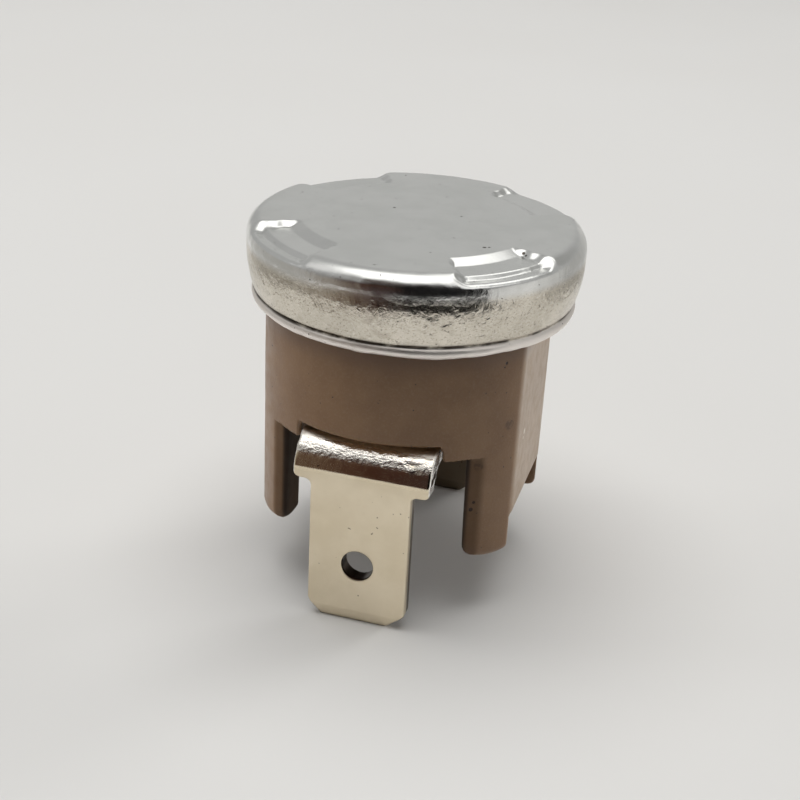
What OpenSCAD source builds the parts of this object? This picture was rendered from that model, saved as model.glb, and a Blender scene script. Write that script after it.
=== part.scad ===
// Bimetal disc thermostat of the half-inch type, standing on the tips of its two tabs.
// Z is the axis, with the sensing cap at the top. The front terminal faces -Y.
// z = 0 is the surface that the tab tips stand on.

/* [Terminals] */
// Thickness of the terminal strip
term_t = 0.8; // [0.7:0.05:0.9]
// Height of the terminal, from the tip of the tab to the top of the strip
term_h = 9.25; // [8.8:0.05:9.7]
// Width of the strip at the bend
strip_w = 6.5; // [6.2:0.05:6.6]
// How far the outer face of the tab stands out from the body
tab_stand = 0.31; // [0.15:0.01:0.45]
// Outer radius of the bend
bend_r = 1.35; // [1.2:0.05:1.5]
// Width of the tab
tab_w = 4.8; // [4.5:0.1:5.2]
// Length of the tab, from its tip to the shoulders
tab_l = 7.3; // [7.0:0.05:7.5]
// Size of the chamfers at the two corners of the tip
tip_chamfer = 0.85; // [0.6:0.05:1.0]
// Height of the lead-in bevel on both faces of the tip
tip_bevel_h = 0.65; // [0.5:0.05:0.8]
// Thickness left at the tip's edge
tip_edge_t = 0.4; // [0.3:0.05:0.5]
// Radius of the corners at the shoulders
shoulder_r = 0.3; // [0.2:0.05:0.35]
// Diameter of the locking hole in the tab
tab_hole_d = 1.5; // [1.4:0.05:1.7]
// Height of the locking hole above the tip
tab_hole_z = 3.15; // [2.8:0.05:3.4]
// Gap between the inner ends of the two strips, across the axis
strip_gap = 4.6; // [4.0:0.1:5.0]

/* [Housing] */
// Diameter of the moulded body
body_d = 14.24; // [14.0:0.02:14.4]
// Width across the two flats
flat_w = 12.58; // [12.4:0.02:12.8]
// Height of the body, from the underside of its floor to the rim that the guide sits on
body_h = 6.5; // [6.3:0.05:6.8]
// Thickness of the floor that the rivets clamp
floor_t = 1.5; // [1.3:0.05:1.7]
// Drop of the front and rear walls below the floor
wall_drop = 0.55; // [0.4:0.05:0.7]
// Thickness of the front and rear walls below the floor
wall_t = 1.2; // [1.0:0.05:1.4]
// Drop of the two side walls below the floor
side_drop = 4.25; // [3.8:0.05:4.6]
// Thickness of the two side walls
side_t = 1.2; // [1.0:0.05:1.4]
// Length of the feet below the floor
foot_l = 6.15; // [5.6:0.05:6.5]
// Clear width between the left and right feet
foot_gap_x = 8.6; // [8.3:0.1:8.9]
// Clear width between the front and rear feet, along the flats
foot_gap_y = 6.66; // [6.4:0.02:6.9]
// Draft of the feet's faces towards the terminal, in degrees
foot_draft = 1; // [0.5:0.25:2]
// Round of the feet's lower ends towards the terminal
foot_slot_r = 0.65; // [0.5:0.05:1.0]
// Round of the feet's lower ends towards the flats
foot_flat_r = 0.35; // [0.2:0.05:0.5]
// Round of the feet's lower ends towards the middle of the flats
foot_mid_r = 0.5; // [0.4:0.05:0.8]
// Round of the feet's outer faces into their lower ends
foot_outer_r = 0.6; // [0.3:0.05:0.9]
// Distance from the middle plane to the outer edge of the facet beside the terminal
facet_x = 5.1; // [5.0:0.05:5.3]
// Slope of the facet beside the terminal, in degrees from the front plane
facet_slope = 30; // [26:1:36]
// Rise of the terminal notch above the underside of the floor
notch_rise = 0.25; // [0.15:0.05:0.4]
// Clearance on each side of the strip in its notch
notch_fit = 0.1; // [0.08:0.01:0.15]
// Thickness of the wall round the contact chamber
chamber_wall_t = 1.72; // [1.6:0.02:1.8]
// Distance from the chamber's wall to the inner edge of each rivet pedestal
pedestal_l = 2.25; // [2.2:0.01:2.3]
// Thickness of the flange under the body's rim, which the cap grips
flange_t = 1.1; // [1.0:0.05:1.2]

/* [Cap] */
// How far the cap's wall stands out from its curled lip
curl_inset = 0.36; // [0.3:0.02:0.45]
// Thickness of the drawn sheet
sheet_t = 0.45; // [0.44:0.01:0.48]
// Outer radius of the cap's top edge
edge_r = 0.85; // [0.75:0.05:0.95]
// Height of straight wall between the top edge and the inward curl
straight_h = 0.6; // [0.4:0.05:0.7]
// Radius of the rolled bead at the rim
bead_r = 0.3; // [0.26:0.01:0.32]
// How far the bead stands proud of the crease above it
bead_proud = 0.08; // [0.05:0.01:0.12]

/* [Staked notches] */
// Direction of the first notch, in degrees from +X
stake_dir = 48; // [44:1:52]
// Angle that each notch spans
stake_span = 36; // [32:1:40]
// Radius where the notch leaves the top face
stake_r = 5.45; // [5.3:0.05:5.6]
// Radial width of the slope down to the first ledge
slope_w = 0.62; // [0.5:0.02:0.7]
// Radial width of the first ledge
ledge_w = 1.08; // [1.0:0.02:1.1]
// Radial width of the slope down to the outer ledge
step_w = 0.2; // [0.15:0.01:0.25]
// Depth of the first ledge
ledge_depth = 0.25; // [0.2:0.01:0.3]
// Depth of the outer ledge
rim_depth = 0.42; // [0.4:0.01:0.43]
// Round of the outer ledge into the wall
rim_r = 0.3; // [0.25:0.01:0.35]

/* [Disc and guide] */
// Diameter of the bimetal disc
disc_d = 12.7; // [12.4:0.1:12.8]
// Thickness of the bimetal disc
disc_t = 0.2; // [0.15:0.01:0.25]
// Height of the disc's dish
disc_dish = 0.22; // [0.2:0.01:0.24]
// Depth of the pocket that holds the disc, below the guide's rim
pocket_depth = 0.25; // [0.22:0.01:0.3]
// Width of the ring that the disc rests on
seat_w = 0.75; // [0.6:0.05:0.9]
// Depth of the dish under the disc, below the seat ring
dish_depth = 0.5; // [0.45:0.05:0.55]
// Height of the seat ring above the body's rim
seat_h = 1.08; // [1.0:0.02:1.2]
// Depth of the guide's spigot in the contact chamber
spigot_h = 0.3; // [0.2:0.05:0.4]
// Clearance round the spigot and round the disc
loose_fit = 0.1; // [0.08:0.01:0.15]
// Outside diameter of the guide's sleeve
sleeve_d = 3.0; // [2.8:0.1:3.2]
// Length of the guide's sleeve below the body's rim
sleeve_l = 1.15; // [1.0:0.05:1.2]

/* [Transfer pin] */
// Diameter of the ceramic transfer pin
pin_d = 1.8; // [1.6:0.1:1.8]
// Free play between the cold disc and the pin
pin_play = 0.12; // [0.1:0.01:0.15]
// Chamfer round the pin's upper end
pin_chamfer = 0.2; // [0.15:0.05:0.25]

/* [Contacts] */
// Height of the contact arm above the chamber floor
arm_z = 1.25; // [1.2:0.05:1.4]
// Height of the small boss that the arm rests on, above the rear pedestal
boss_h = 0.4; // [0.3:0.05:0.5]
// Thickness of the contact arm
arm_t = 0.15; // [0.12:0.01:0.18]
// Width of the contact arm along its blade
arm_w = 2.6; // [2.2:0.1:3.0]
// Width of the contact arm at its riveted end
arm_end_w = 3.4; // [3.2:0.1:3.8]
// Clearance between the riveted end of the arm and the chamber's wall
arm_gap = 0.15; // [0.12:0.01:0.2]
// Width of blade left round the end of the moving contact
arm_margin = 0.1; // [0.05:0.05:0.2]
// Distance from the axis to the middle of the contacts
contact_y = 2.15; // [2.1:0.01:2.2]
// Diameter of both contact heads
contact_d = 1.5; // [1.4:0.02:1.56]
// Thickness of each contact head
contact_t = 0.48; // [0.42:0.01:0.52]
// Diameter of the contacts' shanks
contact_shank_d = 0.8; // [0.7:0.05:0.9]
// Diameter of the contacts' upset ends
upset_d = 1.1; // [1.0:0.05:1.2]
// Thickness of the contacts' upset ends
upset_t = 0.15; // [0.1:0.01:0.2]
// Thickness of the fixed contact's plate
plate_t = 0.4; // [0.3:0.05:0.45]
// Width of the fixed contact's plate
plate_w = 3.4; // [3.0:0.1:3.8]

/* [Rivets] */
// Distance from the chamber's wall to the middle of each rivet
rivet_inset = 1.15; // [1.1:0.01:1.2]
// Diameter of the rivets' shanks
rivet_d = 1.5; // [1.4:0.05:1.55]
// Diameter of the rivets' heads, under the terminals
rivet_head_d = 2.6; // [2.4:0.1:2.8]
// Height of the rivets' domed heads
rivet_head_h = 0.5; // [0.4:0.05:0.6]
// Thickness of the heads at their edge
rivet_edge_t = 0.15; // [0.1:0.01:0.2]
// Diameter of the rivets' rolled ends, in the chamber
rivet_end_d = 2.1; // [2.0:0.02:2.14]
// Height of the rivets' rolled ends
rivet_end_h = 0.45; // [0.4:0.05:0.5]
// Thickness of the boss's wall round the rear rivet
boss_wall_t = 0.15; // [0.12:0.01:0.2]
// Diameter of the hollow in the rivets' rolled ends
rivet_bore_d = 0.8; // [0.6:0.05:0.9]

/* [Clearances] */
// Clearance between fitted pieces
fit = 0.04; // [0.03:0.01:0.05]
// Gap left between the closed contacts, and between the pin and the arm
touch_gap = 0.02; // [0.01:0.01:0.03]
// Play of the contact arm at its rivet, which stands for the flexing of the blade
flex_gap = 0.09; // [0.09:0.01:0.1]

/* [Hidden] */
$fn = 96;
eps = 0.01;
far = 20;
over = 1;

body_r = body_d / 2;
lip_r = body_r + fit;
cap_in_r = lip_r + curl_inset;
cap_r = cap_in_r + sheet_t;
chamber_r = body_r - chamber_wall_t;
pedestal_y = chamber_r - pedestal_l;
rivet_y = chamber_r - rivet_inset;
tab_y = body_r + tab_stand;

// Heights, worked up from the tab tips
floor_z = term_h;
chamber_z = floor_z + floor_t;
wall_z = floor_z - wall_drop;
side_z = floor_z - side_drop;
foot_z = floor_z - foot_l;
rim_z = floor_z + body_h;
seat_z = rim_z + seat_h;
guide_top_z = seat_z + pocket_depth;
cap_top_z = guide_top_z + sheet_t + rim_depth;

// Section of the cap: the wall curls in so that its rim grips under the body's flange
curl_z = cap_top_z - edge_r - straight_h;
bead_top_z = rim_z - flange_t;
rim_low_z = bead_top_z - 2 * bead_r;
curl_drop = curl_z - bead_top_z;
curl_r = (curl_drop * curl_drop + curl_inset * curl_inset) / (2 * curl_inset);
curl_x = cap_in_r - curl_r;
crease_r = curl_x + sqrt(pow(curl_r + sheet_t, 2) - pow(curl_drop, 2));
bead_out_r = crease_r + bead_proud;

// Section of a staked notch
slope_r = stake_r + slope_w;
ledge_r = slope_r + ledge_w;
step_r = ledge_r + step_w;
notch_low_z = curl_z + straight_h / 3;

// Notch for the strip in the front and rear walls
notch_w = strip_w + 2 * notch_fit;

// Bimetal disc and pin
disc_r = disc_d / 2;
pin_r = pin_d / 2;
arm_low_z = chamber_z + arm_z;
arm_top_z = arm_low_z + arm_t;
pin_low_z = arm_top_z + touch_gap;
pin_top_z = seat_z + disc_dish - pin_play;
pin_travel = 2 * disc_dish - pin_play;

// Contacts and rivets
moving_top_z = arm_top_z + contact_t;
fixed_low_z = moving_top_z + touch_gap;
plate_z = fixed_low_z + contact_t;
plate_top_z = plate_z + plate_t;
rivet_r = rivet_d / 2;
rivet_hole_r = rivet_r + fit;
arm_tip_y = contact_y + contact_d / 2 + arm_margin;

// A ring-shaped section between two radii, kept inside one quarter
module quarter_ring(outer_r, inner_r) {
    intersection() {
        difference() {
            circle(r = outer_r);
            circle(r = inner_r);
        }
        square(outer_r + eps);
    }
}

// The curled wall above the bead, from inside the bead up to the straight wall
module curl_section() {
    bead_join = bead_r / 4;
    intersection() {
        translate([curl_x, curl_z])
            difference() {
                circle(r = curl_r + sheet_t, $fn = 360);
                circle(r = curl_r, $fn = 360);
            }
        translate([lip_r, bead_top_z - bead_join])
            square([cap_r, curl_drop + bead_join]);
    }
}

module bead_section() {
    translate([bead_out_r - bead_r, rim_low_z + bead_r])
        circle(r = bead_r);
    translate([lip_r, rim_low_z])
        square([bead_out_r - bead_r - lip_r, 2 * bead_r]);
}

module wall_section() {
    curl_section();
    bead_section();
    translate([cap_in_r, curl_z])
        square([sheet_t, straight_h]);
}

module plain_section() {
    translate([0, cap_top_z - sheet_t])
        square([cap_r - edge_r, sheet_t]);
    translate([cap_r - edge_r, cap_top_z - edge_r])
        quarter_ring(edge_r, edge_r - sheet_t);
    wall_section();
}

// Section through a notch: two ledges pressed into the sheet, one below the other
module staked_section() {
    rim_top = cap_top_z - rim_depth;
    polygon([
        [stake_r - eps, cap_top_z],
        [stake_r, cap_top_z],
        [slope_r, cap_top_z - ledge_depth],
        [ledge_r, cap_top_z - ledge_depth],
        [step_r, rim_top],
        [cap_r - rim_r, rim_top],
        [cap_r - rim_r, rim_top - rim_r],
        [cap_r, rim_top - rim_r],
        [cap_r, curl_z],
        [cap_in_r, curl_z],
        [cap_in_r, rim_top - sheet_t],
        [step_r, rim_top - sheet_t],
        [ledge_r, cap_top_z - ledge_depth - sheet_t],
        [slope_r, cap_top_z - ledge_depth - sheet_t],
        [stake_r, cap_top_z - sheet_t],
        [stake_r - eps, cap_top_z - sheet_t]]);
    translate([cap_r - rim_r, rim_top - rim_r])
        intersection() {
            circle(r = rim_r);
            square(rim_r);
        }
}

// Turned section over one notch's angle
module notch_sweep(index) {
    rotate([0, 0, stake_dir + index * 90 - stake_span / 2])
        rotate_extrude(angle = stake_span)
            children();
}

module cap() {
    color([0.74, 0.73, 0.70]) {
        difference() {
            rotate_extrude()
                plain_section();
            for (i = [0:3])
                notch_sweep(i)
                    translate([stake_r, notch_low_z])
                        square([cap_r, cap_top_z]);
        }
        for (i = [0:3])
            notch_sweep(i)
                staked_section();
    }
}

// The disc is dished towards the cap while it is cold
function dish(r) = disc_dish * (1 - pow(r / disc_r, 2));

module bimetal_disc() {
    steps = 10;
    color([0.62, 0.60, 0.56])
        translate([0, 0, seat_z])
            rotate_extrude()
                polygon(concat(
                    [for (i = [0:steps]) [disc_r * i / steps, dish(disc_r * i / steps)]],
                    [for (i = [steps:-1:0])
                        [disc_r * i / steps, dish(disc_r * i / steps) + disc_t]]));
}

module pin_guide() {
    guide_r = cap_in_r - fit;
    pocket_r = disc_r + loose_fit;
    spigot_r = chamber_r - loose_fit;
    dish_r = disc_r - seat_w;
    rim_lower_r = flange_radius(rim_z);
    color([0.80, 0.76, 0.66])
        rotate_extrude()
            polygon([
                [pin_r + fit, rim_z - sleeve_l],
                [sleeve_d / 2, rim_z - sleeve_l],
                [sleeve_d / 2, rim_z - spigot_h],
                [spigot_r, rim_z - spigot_h],
                [spigot_r, rim_z],
                [rim_lower_r, rim_z],
                [guide_r, curl_z],
                [guide_r, guide_top_z],
                [pocket_r, guide_top_z],
                [pocket_r, seat_z],
                [dish_r, seat_z],
                [dish_r - dish_depth / 5, seat_z - dish_depth],
                [pin_r + fit, seat_z - dish_depth]]);
}

module transfer_pin() {
    color([0.93, 0.91, 0.86]) {
        translate([0, 0, pin_low_z + pin_r])
            sphere(r = pin_r);
        translate([0, 0, pin_low_z + pin_r])
            cylinder(r = pin_r, h = pin_top_z - pin_chamfer - pin_low_z - pin_r);
        translate([0, 0, pin_top_z - pin_chamfer])
            cylinder(r1 = pin_r, r2 = pin_r - pin_chamfer, h = pin_chamfer);
    }
}

// Radius of the body's flange at a height, just inside the curled wall of the cap
function flange_radius(z) = curl_x + sqrt(pow(curl_r - fit, 2) - pow(curl_z - z, 2));

module flange() {
    low_z = bead_top_z + fit;
    rotate_extrude()
        intersection() {
            translate([curl_x, curl_z])
                circle(r = curl_r - fit, $fn = 360);
            translate([0, low_z])
                square([cap_r, rim_z - low_z]);
        }
}

// Outline of the body seen from below: round, with two flats
module body_plan() {
    intersection() {
        circle(r = body_r);
        square([flat_w, 2 * far], center = true);
    }
}

// One foot's outline from the front, with draft on its inner side and a rounded lower end
module foot_front() {
    outer_x = flat_w / 2;
    slot_x = foot_gap_x / 2 + (foot_l - foot_slot_r) * tan(foot_draft)
        + foot_slot_r / cos(foot_draft);
    slot_z = foot_z + foot_slot_r;
    flat_x = outer_x - foot_flat_r;
    flat_z = foot_z + foot_flat_r;
    polygon([
        [foot_gap_x / 2, floor_z],
        [slot_x - foot_slot_r * cos(foot_draft), slot_z - foot_slot_r * sin(foot_draft)],
        [slot_x, slot_z],
        [slot_x, foot_z],
        [flat_x, foot_z],
        [flat_x, flat_z],
        [outer_x, flat_z],
        [outer_x, floor_z]]);
    translate([slot_x, slot_z])
        circle(r = foot_slot_r);
    translate([flat_x, flat_z])
        circle(r = foot_flat_r);
}

// One foot's outline from the side
module foot_side() {
    depth = body_r - foot_gap_y / 2;
    translate([foot_gap_y / 2, foot_z]) {
        translate([0, foot_mid_r])
            square([depth, foot_l - foot_mid_r]);
        translate([foot_mid_r, 0])
            square([far, foot_l]);
        translate([foot_mid_r, foot_mid_r])
            circle(r = foot_mid_r);
    }
}

// Round of the foot's outer lower edge, which follows the body's circle
module foot_turned_end() {
    rotate_extrude() {
        translate([0, foot_z])
            square([body_r - foot_outer_r, foot_l]);
        translate([0, foot_z + foot_outer_r])
            square([body_r, foot_l - foot_outer_r]);
        translate([body_r - foot_outer_r, foot_z + foot_outer_r])
            circle(r = foot_outer_r);
    }
}

// Section of the facet's cut: the facet is upright and rounds into the foot's lower end
module facet_section() {
    translate([0, foot_z - over])
        square([far, wall_z - foot_z + over]);
    difference() {
        translate([-foot_outer_r, foot_z - over])
            square([foot_outer_r + eps, foot_outer_r + over]);
        translate([-foot_outer_r, foot_z + foot_outer_r])
            circle(r = foot_outer_r);
    }
}

// Facet beside the terminal, cut from the foot's outer face below the front wall
module facet_cut() {
    translate([facet_x, sqrt(body_r * body_r - facet_x * facet_x), 0])
        rotate([0, 0, 90 - facet_slope])
            translate([0, far, 0])
                rotate([90, 0, 0])
                    linear_extrude(far)
                        facet_section();
}

module foot() {
    difference() {
        intersection() {
            translate([0, 0, foot_z])
                linear_extrude(foot_l)
                    body_plan();
            translate([0, far, 0])
                rotate([90, 0, 0])
                    linear_extrude(2 * far)
                        foot_front();
            rotate([90, 0, 90])
                linear_extrude(far)
                    foot_side();
            foot_turned_end();
        }
        facet_cut();
    }
}

// Side wall below the floor, between the front and rear feet
module side_wall() {
    translate([0, 0, side_z])
        linear_extrude(side_drop)
            intersection() {
                body_plan();
                translate([flat_w / 2 - side_t, -foot_gap_y / 2])
                    square([side_t, foot_gap_y]);
            }
}

// Rim of the front and rear walls below the floor
module wall_rim() {
    translate([0, 0, wall_z])
        linear_extrude(wall_drop)
            difference() {
                body_plan();
                intersection() {
                    circle(r = body_r - wall_t);
                    square([foot_gap_x, 2 * far], center = true);
                }
                square([flat_w - 2 * side_t, foot_gap_y], center = true);
                square([notch_w, 2 * far], center = true);
            }
}

module contact_chamber() {
    translate([0, 0, chamber_z])
        cylinder(r = chamber_r, h = body_h);
}

// Pedestals that carry the fixed contact's plate and the contact arm
module pedestals() {
    intersection() {
        contact_chamber();
        union() {
            translate([-chamber_r, -far, chamber_z])
                cube([2 * chamber_r, far - pedestal_y, plate_z - chamber_z]);
            translate([-chamber_r, pedestal_y, chamber_z])
                cube([2 * chamber_r, far, arm_z - boss_h]);
        }
    }
    translate([0, rivet_y, chamber_z])
        cylinder(r = rivet_hole_r + boss_wall_t, h = arm_z - flex_gap);
}

module housing() {
    color([0.52, 0.44, 0.38])
        difference() {
            union() {
                difference() {
                    union() {
                        translate([0, 0, floor_z])
                            linear_extrude(body_h - flange_t / 2)
                                body_plan();
                        flange();
                    }
                    contact_chamber();
                }
                pedestals();
                wall_rim();
                for (side = [0, 1])
                    mirror([side, 0, 0]) {
                        side_wall();
                        for (end = [0, 1])
                            mirror([0, end, 0])
                                foot();
                    }
            }
            for (side = [-1, 1]) {
                translate([-notch_w / 2, side * (body_r - wall_t / 2) - wall_t, floor_z - over])
                    cube([notch_w, 2 * wall_t, notch_rise + over]);
                translate([0, side * rivet_y, floor_z - over])
                    cylinder(r = rivet_hole_r, h = body_h);
            }
        }
}

// Blade with a round riveted end and a round tip that carries the contact
module contact_arm() {
    color([0.78, 0.58, 0.36])
        translate([0, 0, arm_low_z])
            linear_extrude(arm_t)
                difference() {
                    union() {
                        intersection() {
                            translate([0, rivet_y])
                                circle(d = arm_end_w);
                            circle(r = chamber_r - arm_gap);
                        }
                        translate([-arm_w / 2, -arm_tip_y + arm_w / 2])
                            square([arm_w, rivet_y + arm_tip_y - arm_w / 2]);
                        translate([0, -arm_tip_y + arm_w / 2])
                            circle(d = arm_w);
                    }
                    translate([0, rivet_y])
                        circle(r = rivet_hole_r);
                    translate([0, -contact_y])
                        circle(d = contact_shank_d);
                }
}

// Contact rivet: a flat head, a shank and a low upset end
module contact_rivet(grip) {
    cylinder(d = contact_d, h = contact_t);
    translate([0, 0, -grip])
        cylinder(d = contact_shank_d, h = grip);
    translate([0, 0, -grip - upset_t])
        cylinder(d = upset_d, h = upset_t);
}

module moving_contact() {
    color([0.86, 0.86, 0.84])
        translate([0, -contact_y, arm_top_z])
            contact_rivet(arm_t);
}

module fixed_contact() {
    color([0.86, 0.86, 0.84])
        translate([0, -contact_y, plate_z])
            mirror([0, 0, 1])
                contact_rivet(plate_t);
}

// Brass plate that carries the fixed contact out over the arm
module contact_plate() {
    plate_end_y = contact_y - contact_d / 2;
    color([0.80, 0.68, 0.42])
        translate([0, 0, plate_z])
            linear_extrude(plate_t)
                difference() {
                    intersection() {
                        translate([-plate_w / 2, -chamber_r])
                            square([plate_w, chamber_r - plate_end_y]);
                        circle(r = chamber_r - fit);
                    }
                    translate([0, -rivet_y])
                        circle(r = rivet_hole_r);
                    translate([0, -contact_y])
                        circle(d = contact_shank_d);
                }
}

// Front view of the hanging part of a terminal: shoulders, tab and chamfered tip
module tab_outline() {
    half_w = tab_w / 2;
    difference() {
        union() {
            polygon([
                [-half_w, tab_l + shoulder_r],
                [-half_w, tip_chamfer],
                [-half_w + tip_chamfer, 0],
                [half_w - tip_chamfer, 0],
                [half_w, tip_chamfer],
                [half_w, tab_l + shoulder_r]]);
            translate([-strip_w / 2, tab_l + shoulder_r])
                square([strip_w, term_h - tab_l - shoulder_r]);
            translate([-strip_w / 2 + shoulder_r, tab_l])
                square([strip_w - 2 * shoulder_r, shoulder_r + eps]);
            for (side = [-1, 1]) {
                translate([side * (strip_w / 2 - shoulder_r), tab_l + shoulder_r])
                    circle(r = shoulder_r);
                translate([side * (half_w + shoulder_r / 2 - eps), tab_l - shoulder_r / 2 + eps])
                    square(shoulder_r + 2 * eps, center = true);
            }
        }
        for (side = [-1, 1])
            translate([side * (half_w + shoulder_r), tab_l - shoulder_r])
                circle(r = shoulder_r);
        translate([0, tab_hole_z])
            circle(d = tab_hole_d);
    }
}

// Side view of a terminal, with the outer face at y = -tab_y
module strip_side() {
    bend_y = -tab_y + bend_r;
    bend_z = term_h - bend_r;
    bevel = (term_t - tip_edge_t) / 2;
    polygon([
        [-tab_y, bend_z + eps],
        [-tab_y, tip_bevel_h],
        [-tab_y + bevel, 0],
        [-tab_y + term_t - bevel, 0],
        [-tab_y + term_t, tip_bevel_h],
        [-tab_y + term_t, bend_z + eps]]);
    translate([bend_y, bend_z])
        mirror([1, 0])
            quarter_ring(bend_r, bend_r - term_t);
    translate([bend_y - eps, term_h - term_t])
        square([-bend_y - strip_gap / 2 + eps, term_t]);
}

module terminal_blank() {
    difference() {
        intersection() {
            translate([-strip_w / 2, 0, 0])
                rotate([90, 0, 90])
                    linear_extrude(strip_w)
                        strip_side();
            translate([0, far, 0])
                rotate([90, 0, 0])
                    linear_extrude(2 * far)
                        tab_outline();
        }
        translate([0, -rivet_y, term_h - 2 * term_t])
            cylinder(r = rivet_hole_r, h = 3 * term_t);
    }
}

module terminal_front() {
    color([0.76, 0.72, 0.62])
        terminal_blank();
}

module terminal_rear() {
    color([0.76, 0.72, 0.62])
        mirror([0, 1, 0])
            terminal_blank();
}

// Section of a semi-tubular rivet: domed head below the strip, shank, and the rolled end
// that clamps its stack
module rivet_section(grip_top_z) {
    head_z = term_h - term_t;
    head_r = rivet_head_d / 2;
    dome_h = rivet_head_h - rivet_edge_t;
    dome_r = (head_r * head_r + dome_h * dome_h) / (2 * dome_h);
    roll_r = (rivet_end_d - rivet_bore_d) / 4;
    intersection() {
        translate([0, head_z - rivet_head_h + dome_r])
            circle(r = dome_r);
        translate([0, head_z - rivet_head_h])
            square([head_r, rivet_head_h]);
    }
    translate([0, head_z])
        square([rivet_r, grip_top_z - rivet_end_h - head_z]);
    translate([rivet_bore_d / 2, grip_top_z - rivet_end_h])
        square([rivet_r - rivet_bore_d / 2, rivet_end_h]);
    translate([rivet_bore_d / 2 + roll_r, grip_top_z + rivet_end_h - roll_r])
        intersection() {
            circle(r = roll_r);
            translate([-roll_r, 0])
                square([2 * roll_r, roll_r]);
        }
    translate([rivet_bore_d / 2, grip_top_z])
        square([2 * roll_r, rivet_end_h - roll_r]);
}

module rivet(grip_top_z) {
    rotate_extrude()
        rivet_section(grip_top_z);
}

module rivet_front() {
    color([0.80, 0.78, 0.72])
        translate([0, -rivet_y, 0])
            rivet(plate_top_z);
}

module rivet_rear() {
    color([0.80, 0.78, 0.72])
        translate([0, rivet_y, 0])
            rivet(arm_top_z + flex_gap);
}

cap();
bimetal_disc();
pin_guide();
transfer_pin();
housing();
contact_arm();
moving_contact();
contact_plate();
fixed_contact();
terminal_front();
terminal_rear();
rivet_front();
rivet_rear();
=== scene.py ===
"""Looks of the bimetal disc thermostat: dressed pieces, materials, stage, lights and camera.

The cap, the housing and the terminals are rebuilt in finer form round the sizes of their solids,
and the inner pieces keep their solids. Lengths are in millimetres up to the meshes and the nodes,
which take metres.
"""

import math

import bpy
import numpy as np
from mathutils import Matrix


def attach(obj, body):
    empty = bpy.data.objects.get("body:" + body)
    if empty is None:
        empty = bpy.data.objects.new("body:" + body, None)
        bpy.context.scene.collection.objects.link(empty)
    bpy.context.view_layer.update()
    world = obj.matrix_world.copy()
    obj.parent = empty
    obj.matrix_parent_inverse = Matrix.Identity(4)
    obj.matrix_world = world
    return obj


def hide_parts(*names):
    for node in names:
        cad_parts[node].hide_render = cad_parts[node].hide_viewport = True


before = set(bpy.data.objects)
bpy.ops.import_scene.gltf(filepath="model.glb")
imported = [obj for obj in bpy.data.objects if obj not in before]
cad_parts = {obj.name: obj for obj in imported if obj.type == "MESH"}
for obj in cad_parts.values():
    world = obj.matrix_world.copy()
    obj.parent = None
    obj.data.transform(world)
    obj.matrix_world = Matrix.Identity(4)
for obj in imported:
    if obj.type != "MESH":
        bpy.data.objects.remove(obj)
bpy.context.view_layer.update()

MM = 0.001

# Housing, as in the solids, with heights from the tips of the tabs. Its floor is from FLOOR_Z up to
# CHAMBER_Z.
BODY_R = 7.12
FLAT_X = 6.29
BODY_TOP_Z = 15.2
FLANGE_Z = 14.69
RIM_Z = 15.75
CHAMBER_R = 5.4
CHAMBER_Z = 10.75
FLOOR_Z = 9.25
PEDESTAL_Y = 3.15
FRONT_PEDESTAL_Z = 13.13
REAR_PEDESTAL_Z = 11.6
BOSS_R = 0.94
BOSS_Z = 11.91
RIVET_Y = 4.25
RIVET_HOLE_R = 0.79
WALL_Z = 8.7
SIDE_Z = 5.0
SIDE_IN_X = 5.09
SIDE_Y = 3.6
SKIRT_IN_R = 5.92
NOTCH_X = 3.35
NOTCH_Y = 5.32
NOTCH_Z = 8.2
NOTCH_TOP_Z = 9.5
SLOT_X = 4.3
SLOT_DRAFT = 1.0
FACET_X = 5.1
FACET_SLOPE = 30.0
FOOT_Y = 3.33
FOOT_Z = 3.1
FOOT_END_Y = 3.8
FOOT_SWEEP = 2.4
# heights inside the floor, where parts above it start and parts below it end
ABOVE_ROOT_Z = 10.5
BELOW_ROOT_Z = 10.0
# roundings of its edges, and the fillet round the pedestals
HOUSING_EDGE = 0.10
FLAT_EDGE = 0.12
HOLE_EDGE = 0.05
SLOT_EDGE = 0.3
FACET_EDGE = 0.03
FOOT_EDGE = 0.12
FOOT_END_EDGE = 0.42
PEDESTAL_FILLET = 0.08
HOUSING_CELL = 0.15

# Terminals: x across, s along the flat blank from the tab's tip, n in from the outer face
TERM_T = 0.8
TAB_HALF = 2.4
TAB_Y = 7.43
TAB_TOP_S = 8.4
TAB_HOLE_S = 3.15
TAB_HOLE_R = 0.75
TAB_CORNER_S = 0.85
TAB_LEFT_X = 0.62
TAB_RIGHT_X = 0.90
TAB_BEVEL_S = 0.65
TAB_BEVEL_N = 0.2
STRIP_HALF = 3.25
STRIP_S = 7.3
STRIP_END_S = 13.80
STRIP_HOLE_S = 11.85
SHOULDER_R = 0.3
END_EDGE = 0.05
CORNER_EDGE = 0.08
FACE_EDGE = 0.07
BEND_S = 7.9
BEND_R = 1.35
BEND_Y = TAB_Y - BEND_R
# along s, where the bend's worked and torn faces start and end, each with a soft limit
BEND_SPAN = ((7.5, 8.0), (10.4, 9.9))
TORN_SPAN = ((8.30, 8.50), (9.9, 9.2))
TERMINAL_CELL = 0.075

# Cap: the wall is straight down to CURL_Z, then curls in round CURL_X to the bead
CAP_TOP = 17.95
CAP_R = 7.97
CAP_EDGE_R = 0.85
SHEET = 0.45
CURL_X = 2.5865
CURL_Z = 16.5
CURL_R = 4.9335
CURL_GAP = 0.04
CREASE_Z = 14.62
CREASE_HALF = 0.07
BEAD_X = 7.422
BEAD_Z = 14.35
BEAD_R = 0.3
LIP_R = 7.16
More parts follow.
